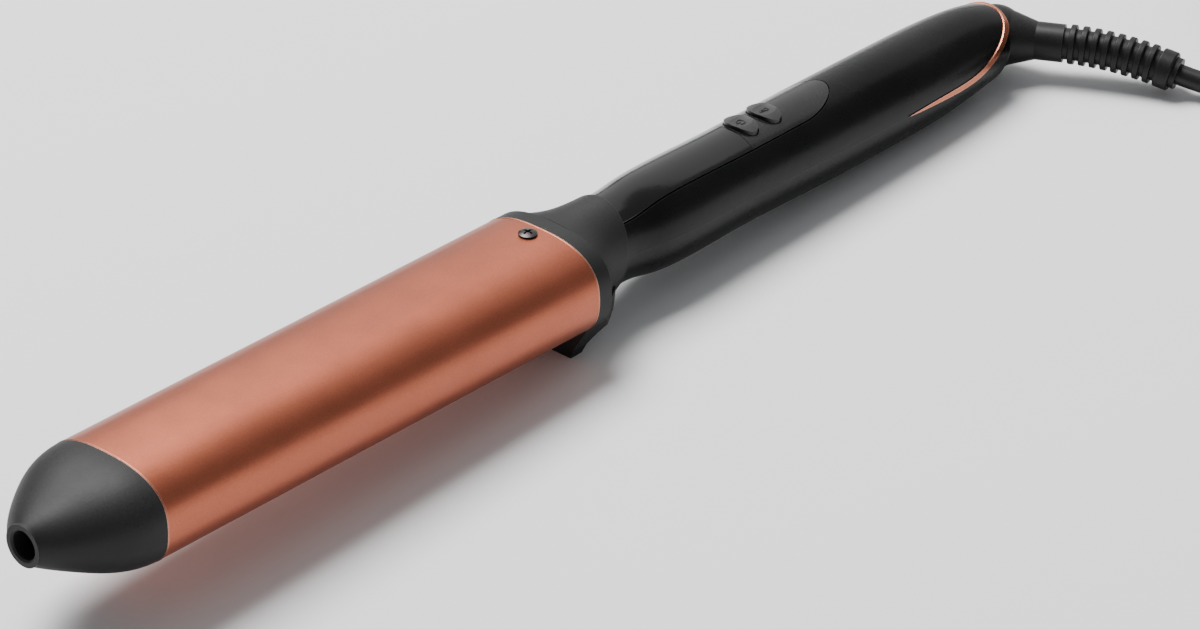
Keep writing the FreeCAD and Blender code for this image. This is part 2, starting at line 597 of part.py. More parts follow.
def cord_guard():
    at = guard_axis()
    ball = Vec(BALL_X, 0, 0)
    heading = at(0)[1]
    cone = Part.makeCone(BALL_R * 0.86, NECK_R, 7.0, ball + heading * (BALL_R * 0.51), heading)
    neck = rod(ball + heading * 11.0, heading, NECK_R, NECK_END - 11.0)
    pieces = [Part.makeSphere(BALL_R, ball), cone, neck]
    bend = Part.Arc(at(NECK_END)[0], at(NECK_END + BEND_LENGTH / 2)[0], at(NECK_END + BEND_LENGTH)[0])
    ring = Part.Wire([Part.Circle(at(NECK_END)[0], heading, RIB_CORE_R).toShape()])
    pieces.append(Part.Wire([bend.toShape()]).makePipeShell([ring], True, True))
    for i in range(RIB_COUNT):
        point, along = at(FIRST_RIB + RIB_PITCH * i)
        rib = rod(point - along * (RIB_THICK / 2), along, RIB_R, RIB_THICK)
        pieces.append(rib.makeFillet(0.35, [e for e in rib.Edges if len(e.Vertexes) == 1]))
    point, along = at(GUARD_END - END_COLLAR + 0.6)
    end = rod(point, along, RIB_R, END_COLLAR - 0.6 - 1.6)
    end = end.makeFillet(0.6, [e for e in end.Edges if len(e.Vertexes) == 1])
    pieces.append(end)
    pieces.append(rod(at(GUARD_END - END_COLLAR)[0], along, RIB_CORE_R, END_COLLAR))
    guard = joined(pieces)
    # Room for the lug: its place at rest, its place with the guard straight back, and all between.
    straight = FreeCAD.Rotation(Z_AXIS, -REST_TILT)
    room_w = LUG_HALF_W + 0.4
    lug_room = block(-14.0, 0, -room_w, room_w, -LUG_HALF_THICK - 0.3, LUG_HALF_THICK + 0.3)
    lug_rooms = []
    for turned in (FreeCAD.Rotation(), straight):
        room = lug_room.copy()
        room.Placement = FreeCAD.Placement(ball, turned)
        lug_rooms.append(room)
    swing = [Vec(0, 0, 0)]
    for i in range(7):
        angle = math.radians(180.0 - REST_TILT * i / 6)
        swing.append(Vec(14.0 * math.cos(angle), 14.0 * math.sin(angle), 0))
    fan = Part.Face(Part.makePolygon(swing + [swing[0]])).extrude(Vec(0, 0, 2 * LUG_HALF_THICK + 0.6))
    fan.translate(ball - Vec(0, 0, LUG_HALF_THICK + 0.3))
    eye_room = rod(Vec(BALL_X, 0, -LUG_HALF_THICK - 0.3), Z_AXIS, LUG_HALF_W + 0.4, 2 * LUG_HALF_THICK + 0.6)
    pin_room = rod(Vec(BALL_X, 0, -6.9), Z_AXIS, PIN_R + 0.05, 13.8)
    for room in lug_rooms + [fan, eye_room, pin_room]:
        guard = guard.cut(room)
    settle("cord_guard", guard)


# ---- free cord, in the table's frame -------------------------------------------------------------------
def cord_start():
    point, along = guard_axis()(GUARD_END)
    return SETTLE.multVec(point), SETTLE.Rotation.multVec(along)


START, HEADING = cord_start()
OUTER_TURN_R = COIL_MID_R + COIL_HALF_BAND - CORD_R
LEAD = [
    START, START + HEADING * 10.5, Vec(210.2, -67.6, FLOOR_Z + 0.03), Vec(219.7, -76.2, FLOOR_Z),
    Vec(233.4, -81.2, FLOOR_Z), Vec(251.5, -82.5, FLOOR_Z), Vec(COIL_X, COIL_Y - OUTER_TURN_R, FLOOR_Z),
]
TAIL = [
    Vec(COIL_X, COIL_Y - OUTER_TURN_R, TABLE_GAP + COIL_HEIGHT - CORD_R), Vec(286.9, -82.0, 13.6),
    Vec(299.7, -76.7, 11.6), Vec(309.6, -66.9, 9.2), Vec(PLUG_X, -54.0, PLUG_Z), Vec(PLUG_X, PLUG_Y, PLUG_Z),
]


def cord_tube(points):
    """Straight runs joined by tangent arcs, each as large as its two runs allow."""
    runs = [(b - a).Length for a, b in zip(points, points[1:])]
    edges = []
    here = points[0]
    for i in range(1, len(points) - 1):
        back = (points[i - 1] - points[i]).normalize()
        on = (points[i + 1] - points[i]).normalize()
        turn = math.pi - back.getAngle(on)
        reach = 0.45 * min(runs[i - 1], runs[i])
        radius = reach / math.tan(turn / 2)
        middle = (back + on).normalize()
        inward = radius / math.cos(turn / 2) - radius
        arc = Part.Arc(points[i] + back * reach, points[i] + middle * inward, points[i] + on * reach)
        edges.append(Part.LineSegment(here, arc.StartPoint).toShape())
        edges.append(arc.toShape())
        here = arc.EndPoint
        print("  bend", i, "turn", round(math.degrees(turn), 1), "radius", round(radius, 1))
    edges.append(Part.LineSegment(here, points[-1]).toShape())
    path = Part.Wire(edges)
    ring = Part.Wire([Part.Circle(points[0], points[1] - points[0], CORD_R).toShape()])
    tube = path.makePipeShell([ring], True, True)
    print("  length", round(path.Length, 1), "volume ratio",
          round(tube.Volume / (math.pi * CORD_R ** 2 * path.Length), 4))
    return tube, path.Length


def coil_tie():
    """A strap round the coil's band, opposite the place where the cord enters it."""
    y0 = COIL_Y + COIL_MID_R - COIL_HALF_BAND - TIE_THICK + 0.6
    y1 = COIL_Y + COIL_MID_R + COIL_HALF_BAND + TIE_THICK - 0.6
    top = TABLE_GAP + COIL_HEIGHT + TIE_THICK - 0.4
    strap = block(COIL_X - TIE_HALF_W, COIL_X + TIE_HALF_W, y0, y1, TABLE_GAP, top)
    strap = strap.makeFillet(2.4, [e for e in strap.Edges if abs(e.tangentAt(e.FirstParameter).x) > 0.9])
    return strap.cut(block(COIL_X - 9, COIL_X + 9, y0 + TIE_THICK, y1 - TIE_THICK,
                           TABLE_GAP + TIE_THICK, top - TIE_THICK))


def free_cord():
    outer = COIL_MID_R + COIL_HALF_BAND
    inner = COIL_MID_R - COIL_HALF_BAND
    centre = Vec(COIL_X, COIL_Y, TABLE_GAP)
    ring = rod(centre, Z_AXIS, outer, COIL_HEIGHT).cut(rod(centre, Z_AXIS, inner, COIL_HEIGHT))
    ring = ring.makeFillet(2.6, [e for e in ring.Edges if len(e.Vertexes) == 1])
    print("cord lead")
    lead_tube, lead_length = cord_tube(LEAD)
    print("cord tail")
    tail_tube, tail_length = cord_tube(TAIL)
    coiled = CORD_LENGTH - lead_length - tail_length
    print("coiled length", round(coiled, 1), "turns", round(coiled / (2 * math.pi * COIL_MID_R), 2))
    tie = coil_tie()
    save("cord_lead", lead_tube)
    save("cord_tail", tail_tube)
    save("cord_tie", tie)
    save("cord_coil", ring.cut(lead_tube).cut(tail_tube).cut(tie))


def plug():
    """A flat two-pin plug, lying beside the coil with its pins along +Y."""
    rear = Vec(PLUG_X, PLUG_Y, PLUG_Z)
    boot = Part.makeCone(CORD_R + 0.5, CORD_R + 2.2, PLUG_BOOT, rear, Y_AXIS)
    rear_y = PLUG_Y + PLUG_BOOT - 0.5
    front_y = rear_y + PLUG_BODY
    plan = [
        (-6.0, rear_y), (6.0, rear_y), (11.5, rear_y + 9.0), (PLUG_HALF_W, rear_y + 20.0),
        (PLUG_HALF_W, front_y), (-PLUG_HALF_W, front_y), (-PLUG_HALF_W, rear_y + 20.0), (-11.5, rear_y + 9.0),
    ]
    corners = [Vec(PLUG_X + x, y, TABLE_GAP) for x, y in plan]
    body = Part.Face(Part.makePolygon(corners + [corners[0]])).extrude(Vec(0, 0, 2 * PLUG_HALF_THICK))
    uprights = [e for e in body.Edges if abs(e.tangentAt(e.FirstParameter).z) > 0.9
                and e.BoundBox.YMin > rear_y + 1 and e.BoundBox.YMin < front_y - 1]
    body = body.makeFillet(4.0, uprights)
    rims = [e for e in body.Edges if e.BoundBox.ZLength < 0.01 and e.BoundBox.YMin < front_y - 0.5
            and e.BoundBox.YMin > rear_y - 0.5]
    body = body.makeChamfer(2.2, rims)
    save("plug_body", joined([boot, body]))
    pins = []
    for side in (-1, 1):
        pin = rod(Vec(PLUG_X + side * PIN_SPACING / 2, front_y, PLUG_Z), Y_AXIS, PLUG_PIN_R, PIN_LENGTH)
        tip_edge = [e for e in pin.Edges if e.BoundBox.YMin > front_y + PIN_LENGTH - 0.01]
        pins.append(pin.makeFillet(1.2, tip_edge))
    save("plug_pins", Part.makeCompound(pins))


os.makedirs("parts", exist_ok=True)
tip_cap()
barrel_tube()
insulator("tip_insulator", 1.0, 4.0, 17.7, 10.8, [(0.0, 1.45)])
insulator("rear_insulator", 138.5, 140.5, 16.6, 10.0, [(-LEAD_Y, 1.0), (LEAD_Y, 1.0)])
heat_spreaders()
clamp_springs()
heater()
collar()
handle_shells()
panel()
button("power_button", POWER_X)
button("temperature_button", TEMPERATURE_X)
electronics()
swivel()
cord_guard()
free_cord()
plug()
print("shift", SHIFT, "lean", math.degrees(LEAN), "ball", SETTLE.multVec(Vec(BALL_X, 0, 0)))
print("cord start", START, "heading", HEADING)
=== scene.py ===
# %% [markdown]
# # A curling iron, finished over its engineering model
# The engineering model already holds every part at its real size and place, and the joints that move them.
# This lesson gives that model its looks: first the camera and the free cord, because they decide what is
# in view, then the shared surface effects, the finishes, the small added pieces, and the light.

# %% Load the frame that everything is built on
import json
import math

import bmesh
import bpy
from mathutils import Matrix, Vector


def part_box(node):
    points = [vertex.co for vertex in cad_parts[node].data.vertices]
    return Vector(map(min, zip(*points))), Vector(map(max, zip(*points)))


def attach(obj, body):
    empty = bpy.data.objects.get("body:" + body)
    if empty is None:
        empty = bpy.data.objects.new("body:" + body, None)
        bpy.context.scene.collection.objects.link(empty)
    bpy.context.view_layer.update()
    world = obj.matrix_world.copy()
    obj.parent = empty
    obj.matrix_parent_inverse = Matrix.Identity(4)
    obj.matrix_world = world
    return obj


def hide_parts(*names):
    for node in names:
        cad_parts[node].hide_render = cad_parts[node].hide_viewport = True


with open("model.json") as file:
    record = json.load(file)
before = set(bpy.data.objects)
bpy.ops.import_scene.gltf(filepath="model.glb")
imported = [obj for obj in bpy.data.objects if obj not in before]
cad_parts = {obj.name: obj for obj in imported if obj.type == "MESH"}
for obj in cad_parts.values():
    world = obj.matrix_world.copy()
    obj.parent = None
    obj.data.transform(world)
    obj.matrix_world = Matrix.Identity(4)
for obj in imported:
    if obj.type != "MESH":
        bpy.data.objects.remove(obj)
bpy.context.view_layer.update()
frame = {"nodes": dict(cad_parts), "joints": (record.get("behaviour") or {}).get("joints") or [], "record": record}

nodes = frame["nodes"]
joints = {joint["name"]: joint for joint in frame["joints"]}

# %% [markdown]
# ## The wand's own axes
# The wand rests on its stand foot, so it leans back a little and its parts aren't square to the table. Pieces
# are easier to place in the wand's own axes, where x runs down its length from the front of the barrel. The
# swivel's hinges already point along those axes, so the change of axes is read from them.

# %% Find the wand's axes from its swivel
SWIVEL_ALONG = 0.3315              # from the front of the barrel to the swivel's middle, in metres
along = Vector(joints["swivel_spin"]["axis"]).normalized()
upward = Vector(joints["cord_guard_tilt"]["axis"]).normalized()
sideways = upward.cross(along)
wand_origin = Vector(joints["swivel_spin"]["pos_m"]) - along * SWIVEL_ALONG
WAND = Matrix.Translation(wand_origin) @ Matrix((along, sideways, upward)).transposed().to_4x4()
print("barrel front at", [round(v, 4) for v in wand_origin], "lean", round(math.degrees(along.z), 2))

# %% [markdown]
# ## Camera
# The wand is seen from beyond its tip, from its left and from above, through a long lens that hardly makes
# the far end smaller. A camera can be aimed with a constraint, or by building its rotation from the three
# directions it needs. The second way is exact and leaves nothing to update, so it is used here.

# %% Place the camera
CAMERA_PLACE = Vector((-0.9309, -0.8908, 0.8151))
LOOK_TURN = math.radians(43.19)    # where it looks, turned from +X towards +Y
LOOK_DOWN = math.radians(32.12)
ROLL = math.radians(1.56)
LENS = 179.8                       # millimetres, on a 36 mm sensor

level = math.cos(LOOK_DOWN)
ahead = Vector((level * math.cos(LOOK_TURN), level * math.sin(LOOK_TURN), -math.sin(LOOK_DOWN)))
right = ahead.cross(Vector((0, 0, 1))).normalized()
right = Matrix.Rotation(ROLL, 3, ahead) @ right
up = right.cross(ahead)
camera_data = bpy.data.cameras.new("camera")
camera_data.lens = LENS
camera_data.sensor_width = 36.0
camera = bpy.data.objects.new("camera", camera_data)
bpy.context.scene.collection.objects.link(camera)
turn = Matrix((right, up, -ahead)).transposed()
camera.matrix_world = Matrix.Translation(CAMERA_PLACE) @ turn.to_4x4()
bpy.context.scene.camera = camera
print("camera looks", [round(v, 3) for v in ahead], "right", [round(v, 3) for v in right])

# %% [markdown]
# ## The mains cord
# The cord is one length of round flexible lead: it leaves the small end of the cord guard, comes down to
# the table, is wound into a neat coil held by a strap, and ends in its plug. A single NURBS curve with a
# round bevel keeps it one smooth piece from end to end, which joined tubes or a mesh would not. The short
# stretches are listed points. The coil is worked out turn by turn, each at its own column and layer.

# %% The cord's sizes and the listed stretches
CORD_RADIUS = 0.0029
FLOOR_Z = 0.00295                  # the cord's middle when it lies on the table
COIL_CENTRE = Vector((0.273, -0.047, FLOOR_Z))
COIL_MIDDLE = 0.029
COLUMN_STEP = 0.0061               # from one turn's middle to the next, across the coil
LAYER_STEP = 0.0058
lead = [
    Vector((0.19993, -0.04593, 0.00605)), Vector((0.20318, -0.05568, 0.00388)),
    Vector((0.2102, -0.0676, 0.00298)), Vector((0.2197, -0.0762, FLOOR_Z)),
    Vector((0.2334, -0.0812, FLOOR_Z)), Vector((0.2515, -0.0825, FLOOR_Z)),
]
tail = [
    Vector((0.2869, -0.0820, 0.0199)), Vector((0.2997, -0.0767, 0.0180)), Vector((0.3096, -0.0669, 0.0130)),
    Vector((0.3149, -0.0540, 0.0072)), Vector((0.3149, -0.0401, 0.00695)),
]
print("hand-set points", len(lead) + len(tail))

# %% [markdown]
# ## The coil's turns
# A hand-wound coil is a stack: three turns side by side, three layers high, and each turn slips to its next
# place over the same quarter of the circle. The loop below walks round the coil and blends between places.
# A last short stretch climbs over the stack before the cord runs down to the plug.

# %% Work out the turns
PLACES = [(1, 0), (0, 0), (-1, 0), (-1, 1), (-1, 2), (0, 2), (0, 1), (1, 1), (1, 2), (1, 3)]
WHOLE_TURNS = 9
POINTS_PER_TURN = 16
ENTRY = math.radians(-90)
SLIP_START = 240 / 360             # the part of a turn where the cord slips to its next place
SLIP_LENGTH = 90 / 360


def coil_place(turns):
    """The column and layer reached after so many turns."""
    index = max(0, math.floor(turns - SLIP_START))
    share = min(1.0, max(0.0, (turns - SLIP_START - index) / SLIP_LENGTH))
    share = share * share * (3 - 2 * share)
    here, there = PLACES[index], PLACES[index + 1]
    return [a + (b - a) * share for a, b in zip(here, there)]


def coil_points():
    points = []
    for step in range(WHOLE_TURNS * POINTS_PER_TURN + 1):
        turns = step / POINTS_PER_TURN
        column, layer = coil_place(turns)
        angle = ENTRY + 2 * math.pi * turns
        radius = COIL_MIDDLE + column * COLUMN_STEP
        offset = Vector((radius * math.cos(angle), radius * math.sin(angle), layer * LAYER_STEP))
        points.append(COIL_CENTRE + offset)
    return points


print("coil points", len(coil_points()))


# %% Make the cord as one smooth curve
def fill_spline(curve, points, radius, closed=False):
    """Add an order 3 NURBS spline. Blender's bounding box counts each point's own radius, so the thickness
    is set there, and the curve's bevel is 1."""
    spline = curve.splines.new("NURBS")
    spline.points.add(len(points) - 1)
    for point, place in zip(spline.points, points):
        point.co = (*place, 1)
        point.radius = radius
    spline.order_u = 3
    spline.use_cyclic_u = closed
    spline.use_endpoint_u = not closed


def round_curve(name, points, radius, closed=False):
    """A smooth round bar through the points' hull."""
    curve = bpy.data.curves.new(name, "CURVE")
    curve.dimensions = "3D"
    curve.bevel_depth = 1.0
    curve.bevel_resolution = 8
    curve.resolution_u = 6
    curve.use_fill_caps = not closed
    fill_spline(curve, points, radius, closed)
    piece = bpy.data.objects.new(name, curve)
    bpy.context.scene.collection.objects.link(piece)
    return piece


cord = round_curve("mains_cord", lead + coil_points() + tail, CORD_RADIUS)
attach(cord, "cord")
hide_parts("cord_lead", "cord_coil", "cord_tail")
print("cord points", len(cord.data.splines[0].points))

# %% [markdown]
# ## Building blocks for finishes
# Every finish is a shader graph. Writing each one out link by link hides the idea, so one helper adds a node
# with its settings and inputs, and another starts a node group. A group is an effect kept once and used in
# many materials: grain, slow change of tone, worn edges, dust, metal flake, drawn lines and handling marks.

# %% Helpers that add a node and start a group
def add(tree, kind, inputs=None, **settings):
    """Add one node. Settings go on the node; inputs take a number, a colour or another node's output."""
    made = tree.nodes.new(kind)
    for key, value in settings.items():
        setattr(made, key, value)
    for key, value in (inputs or {}).items():
        if isinstance(value, bpy.types.NodeSocket):
            tree.links.new(value, made.inputs[key])
        else:
            made.inputs[key].default_value = value
    return made


def start_group(name, inputs, outputs):
    """A new shader node group. Inputs are (name, kind, value) and outputs are (name, kind)."""
    group = bpy.data.node_groups.new(name, "ShaderNodeTree")
    for label, kind, value in inputs:
        socket = group.interface.new_socket(label, in_out="INPUT", socket_type="NodeSocket" + kind)
        socket.default_value = value
    for label, kind in outputs:
        group.interface.new_socket(label, in_out="OUTPUT", socket_type="NodeSocket" + kind)
    given = group.nodes.new("NodeGroupInput").outputs
    result = group.nodes.new("NodeGroupOutput").inputs
    return group, given, result


def math_node(tree, operation, first, second=0.0):
    return add(tree, "ShaderNodeMath", {0: first, 1: second}, operation=operation).outputs[0]


def noise(tree, scale, detail=2.0, vector=None):
    """Smooth noise in the object's own coordinates, from 0 to 1."""
    if vector is None:
        vector = add(tree, "ShaderNodeTexCoord").outputs["Object"]
    inputs = {"Vector": vector, "Scale": scale, "Detail": detail, "Roughness": 0.55}
    return add(tree, "ShaderNodeTexNoise", inputs).outputs[0]


def spread_out(tree, value, low, high):
    """Stretch the middle of a noise's range to run from low to high."""
    inputs = {"Value": value, "From Min": 0.3, "From Max": 0.7, "To Min": low, "To Max": high}
    return add(tree, "ShaderNodeMapRange", inputs).outputs[0]


print("helpers ready")

# %% [markdown]
# ## Grain and tone
# Moulded plastic takes the fine spark-eroded grain of its tool, about a third of a millimetre across. Real
# parts also drift a little in tone over their length. Noise does both: fine noise as height, slow noise as
# a small change of brightness.

# %% Group: moulded grain
COARSE_SHARE = 0.37                # the second, coarser noise has this share of the fine one's scale
grain_group, given, result = start_group(
    "moulded_grain", [("Scale", "Float", 3000.0), ("Contrast", "Float", 1.0)], [("Height", "Float")])
fine = noise(grain_group, given["Scale"], 3.0)
coarse = noise(grain_group, math_node(grain_group, "MULTIPLY", given["Scale"], COARSE_SHARE), 1.0)
both = math_node(grain_group, "MULTIPLY", fine, coarse)
grain_group.links.new(math_node(grain_group, "MULTIPLY", both, given["Contrast"]), result["Height"])
print("group", grain_group.name, len(grain_group.nodes), "nodes")

# %% Group: slow change of tone
tone_group, given, result = start_group(
    "tone_drift",
    [("Colour", "Color", (0.5, 0.5, 0.5, 1)), ("Spread", "Float", 0.06), ("Scale", "Float", 30.0)],
    [("Colour", "Color")])
drift = spread_out(tone_group, noise(tone_group, given["Scale"], 3.0), -1.0, 1.0)
factor = math_node(tone_group, "ADD", math_node(tone_group, "MULTIPLY", drift, given["Spread"]), 1.0)
scaled = add(tone_group, "ShaderNodeVectorMath", {0: given["Colour"], "Scale": factor}, operation="SCALE")
tone_group.links.new(scaled.outputs[0], result["Colour"])
print("group", tone_group.name, len(tone_group.nodes), "nodes")

# %% [markdown]
# ## Edges, dust and handling
# Corners catch the light first because handling polishes them. Cycles can find corners by rounding the normal
# over a small radius: where the rounded normal leaves the true one, there is an edge. Dust settles on faces
# that look up, and fingers leave broad soft changes of gloss.

# %% Group: worn edges
EDGE_GAIN = 7.0                    # how fast the mask grows as the rounded normal leaves the true one
edge_group, given, result = start_group(
    "worn_edges", [("Width", "Float", 0.0004), ("Strength", "Float", 0.5)], [("Mask", "Float")])
rounded = add(edge_group, "ShaderNodeBevel", {"Radius": given["Width"]}, samples=4).outputs[0]
true_normal = add(edge_group, "ShaderNodeNewGeometry").outputs["Normal"]
match = add(edge_group, "ShaderNodeVectorMath", {0: rounded, 1: true_normal}, operation="DOT_PRODUCT")
parting = math_node(edge_group, "SUBTRACT", 1.0, match.outputs["Value"])
leaving = math_node(edge_group, "MULTIPLY", parting, EDGE_GAIN)
patchy = spread_out(edge_group, noise(edge_group, 260.0, 3.0), 0.35, 1.0)
worn_patches = math_node(edge_group, "MULTIPLY", leaving, patchy)
mask = math_node(edge_group, "MULTIPLY", worn_patches, given["Strength"])
clamped = add(edge_group, "ShaderNodeClamp", {"Value": mask}).outputs[0]
edge_group.links.new(clamped, result["Mask"])
print("group", edge_group.name, len(edge_group.nodes), "nodes")

# %% Group: settled dust
dust_group, given, result = start_group("settled_dust", [("Amount", "Float", 0.1)], [("Mask", "Float")])
true_normal = add(dust_group, "ShaderNodeNewGeometry").outputs["Normal"]
facing = add(dust_group, "ShaderNodeSeparateXYZ", {0: true_normal})
upper = add(dust_group, "ShaderNodeClamp", {"Value": facing.outputs["Z"]}).outputs[0]
specks = spread_out(dust_group, noise(dust_group, 2200.0, 4.0), 0.0, 1.0)
patches = spread_out(dust_group, noise(dust_group, 45.0, 2.0), 0.2, 1.0)
film = math_node(dust_group, "MULTIPLY", math_node(dust_group, "MULTIPLY", upper, specks), patches)
dust_group.links.new(math_node(dust_group, "MULTIPLY", film, given["Amount"]), result["Mask"])
print("group", dust_group.name, len(dust_group.nodes), "nodes")

# %% Group: handling marks
handling_group, given, result = start_group(
    "handling_marks", [("Roughness", "Float", 0.3), ("Spread", "Float", 0.05)], [("Roughness", "Float")])
smears = spread_out(handling_group, noise(handling_group, 90.0, 4.0), -1.0, 1.0)
shift = math_node(handling_group, "MULTIPLY", smears, given["Spread"])
handling_group.links.new(math_node(handling_group, "ADD", given["Roughness"], shift), result["Roughness"])
print("group", handling_group.name, len(handling_group.nodes), "nodes")

# %% [markdown]
# ## Metal
# The heated barrel is aluminium under a coloured ceramic coating with mica flake in it, which sparkles very
# finely. Pressed and turned parts keep drawn lines along the way they were worked. Cell noise gives flakes,
# and noise stretched along one direction gives lines.

# %% Group: metal flake
flake_group, given, result = start_group(
    "metal_flake",
    [("Colour", "Color", (0.5, 0.5, 0.5, 1)), ("Scale", "Float", 4000.0), ("Spread", "Float", 0.1)],
    [("Colour", "Color"), ("Height", "Float")])
place = add(flake_group, "ShaderNodeTexCoord").outputs["Object"]
cells = add(flake_group, "ShaderNodeTexVoronoi", {"Vector": place, "Scale": given["Scale"]})
pick = add(flake_group, "ShaderNodeSeparateXYZ", {0: cells.outputs["Color"]}).outputs["X"]
bright = math_node(flake_group, "MULTIPLY", math_node(flake_group, "SUBTRACT", pick, 0.5), given["Spread"])
factor = math_node(flake_group, "ADD", bright, 1.0)
tinted = add(flake_group, "ShaderNodeVectorMath", {0: given["Colour"], "Scale": factor}, operation="SCALE")
flake_group.links.new(tinted.outputs[0], result["Colour"])
flake_group.links.new(pick, result["Height"])
print("group", flake_group.name, len(flake_group.nodes), "nodes")

# %% Group: drawn lines
line_group, given, result = start_group(
    "drawn_lines", [("Across", "Float", 5000.0), ("Along", "Float", 60.0)], [("Lines", "Float")])
stretch = add(line_group, "ShaderNodeCombineXYZ", {0: given["Along"], 1: given["Across"], 2: given["Across"]})
place = add(line_group, "ShaderNodeTexCoord").outputs["Object"]
pulled = add(line_group, "ShaderNodeVectorMath", {0: place, 1: stretch.outputs[0]}, operation="MULTIPLY")
line_group.links.new(noise(line_group, 1.0, 3.0, pulled.outputs[0]), result["Lines"])
print("group", line_group.name, len(line_group.nodes), "nodes")

# %% [markdown]
# ## The finishes
# Each finish sets its constant values straight on the shader and brings in the effects that vary. Dark satin
# plastic, for example, is one dark colour with a slow drift of tone, paler worn edges, a trace of dust and a
# fine grain. A bump carries the grain, because at this size real relief would need millions of faces.

# %% Helpers for a finish
FINISHES = {}
COAT_ROUGHNESS = 0.12
BUMP_STRENGTH = 0.6


def use(tree, group, **values):
    """Place a node group; a value is a number, a colour or another node's output."""
    placed = tree.nodes.new("ShaderNodeGroup")
    placed.node_tree = group
    for key, value in values.items():
        if isinstance(value, bpy.types.NodeSocket):
            tree.links.new(value, placed.inputs[key])
        else:
            placed.inputs[key].default_value = value
    return placed.outputs


def blended(tree, mask, below, above):
    """One colour laid over another through a mask."""
    made = tree.nodes.new("ShaderNodeMix")
    made.data_type = "RGBA"
    for index, value in ((0, mask), (6, below), (7, above)):
        if isinstance(value, bpy.types.NodeSocket):
            tree.links.new(value, made.inputs[index])
        else:
            made.inputs[index].default_value = value
    return made.outputs[2]


def paler(colour, times, more):
    """The lighter colour that wear leaves on an edge."""
    return (*(min(1.0, times * v + more) for v in colour), 1)


def start_finish(slot, specular=0.5, metallic=0.0, coat=0.0):
    paint = bpy.data.materials.new(slot)
    paint.use_nodes = True
    shader = paint.node_tree.nodes["Principled BSDF"]
    shader.inputs["Specular IOR Level"].default_value = specular
    shader.inputs["Metallic"].default_value = metallic
    shader.inputs["Coat Weight"].default_value = coat
    shader.inputs["Coat Roughness"].default_value = COAT_ROUGHNESS
    FINISHES[slot] = paint
    return paint.node_tree, shader


def connect(tree, shader, colour, roughness, height, distance):
    bump = add(tree, "ShaderNodeBump", {"Strength": BUMP_STRENGTH, "Distance": distance, "Height": height})
    tree.links.new(colour, shader.inputs["Base Color"])
    tree.links.new(roughness, shader.inputs["Roughness"])
    tree.links.new(bump.outputs[0], shader.inputs["Normal"])


print("finish helpers ready")

# %% Moulded plastics and rubbers
DUST_COLOUR = (0.42, 0.41, 0.39, 1)


def moulded(slot, colour, roughness, grain=2600.0, distance=0.00003, worn=0.35, dust=0.05, **shader_values):
    tree, shader = start_finish(slot, **shader_values)
    base = use(tree, tone_group, Colour=(*colour, 1), Spread=0.08, Scale=35.0)
    edge = use(tree, edge_group, Width=0.00035, Strength=worn)["Mask"]
    with_edges = blended(tree, edge, base["Colour"], paler(colour, 3.2, 0.02))
    dust_mask = use(tree, dust_group, Amount=dust)["Mask"]
    dusty = blended(tree, dust_mask, with_edges, DUST_COLOUR)
    gloss = use(tree, handling_group, Roughness=roughness, Spread=0.035)["Roughness"]
    relief = use(tree, grain_group, Scale=grain, Contrast=1.0)["Height"]
    connect(tree, shader, dusty, gloss, relief, distance)


moulded("grey_plastic", (0.0125, 0.0125, 0.013), 0.52, 2400.0, 0.00005, specular=0.22)
moulded("black_plastic", (0.0022, 0.0022, 0.0025), 0.28, 2800.0, 0.00002, dust=0.02, specular=0.18)
moulded("button_plastic", (0.014, 0.014, 0.015), 0.40, 3200.0, 0.00004, specular=0.4)
moulded("black_plastic_gloss", (0.007, 0.007, 0.0075), 0.20, 3200.0, 0.00001, specular=0.4)
moulded("bush_plastic", (0.010, 0.010, 0.011), 0.42)
moulded("switch_black", (0.018, 0.018, 0.019), 0.45)
moulded("guard_rubber", (0.005, 0.005, 0.0055), 0.44, 1900.0, 0.00006, dust=0.04, specular=0.25)
moulded("cord_rubber", (0.005, 0.005, 0.0055), 0.40, 2300.0, 0.00004, dust=0.05, specular=0.3)
moulded("plug_rubber", (0.010, 0.010, 0.011), 0.36, 2300.0, 0.00004, dust=0.08, specular=0.4)
moulded("white_lead", (0.72, 0.70, 0.65), 0.60, 1600.0, 0.00010, worn=0.0)
moulded("ceramic_white", (0.78, 0.76, 0.71), 0.55, 2000.0, 0.00006, worn=0.1)
moulded("ceramic_dark", (0.17, 0.11, 0.07), 0.40, 1500.0, 0.00008, worn=0.1)
moulded("capacitor_yellow", (0.70, 0.52, 0.08), 0.32, 1500.0, 0.00002, worn=0.1)
moulded("lamp_white", (0.85, 0.85, 0.82), 0.30, 1500.0, 0.00002, worn=0.0)
print("finishes", len(FINISHES))

# %% [markdown]
# ## Metals
# The barrel's coating is satin and strongly coloured, with flake that breaks its highlight up very finely.
# The trim is plated plastic, smoother and a little brighter. Bare steel, aluminium and brass show drawn
# lines.

# %% Coated and plated copper tones
BRIGHT_EDGE = (0.90, 0.62, 0.48, 1)


def copper(slot, colour, roughness, flake, distance, worn):
    tree, shader = start_finish(slot, metallic=0.94, coat=0.05)
    base = use(tree, tone_group, Colour=(*colour, 1), Spread=0.05, Scale=14.0)
    sparkle = use(tree, flake_group, Colour=base["Colour"], Scale=4200.0, Spread=flake)
    edge = use(tree, edge_group, Width=0.0003, Strength=worn)["Mask"]
    with_edges = blended(tree, edge, sparkle["Colour"], BRIGHT_EDGE)
    gloss = use(tree, handling_group, Roughness=roughness, Spread=0.03)["Roughness"]
    connect(tree, shader, with_edges, gloss, sparkle["Height"], distance)


copper("copper_coating", (0.40, 0.112, 0.062), 0.40, 0.16, 0.000006, 0.8)
copper("copper_trim", (0.46, 0.135, 0.070), 0.27, 0.06, 0.000002, 0.6)
print("copper tones ready")

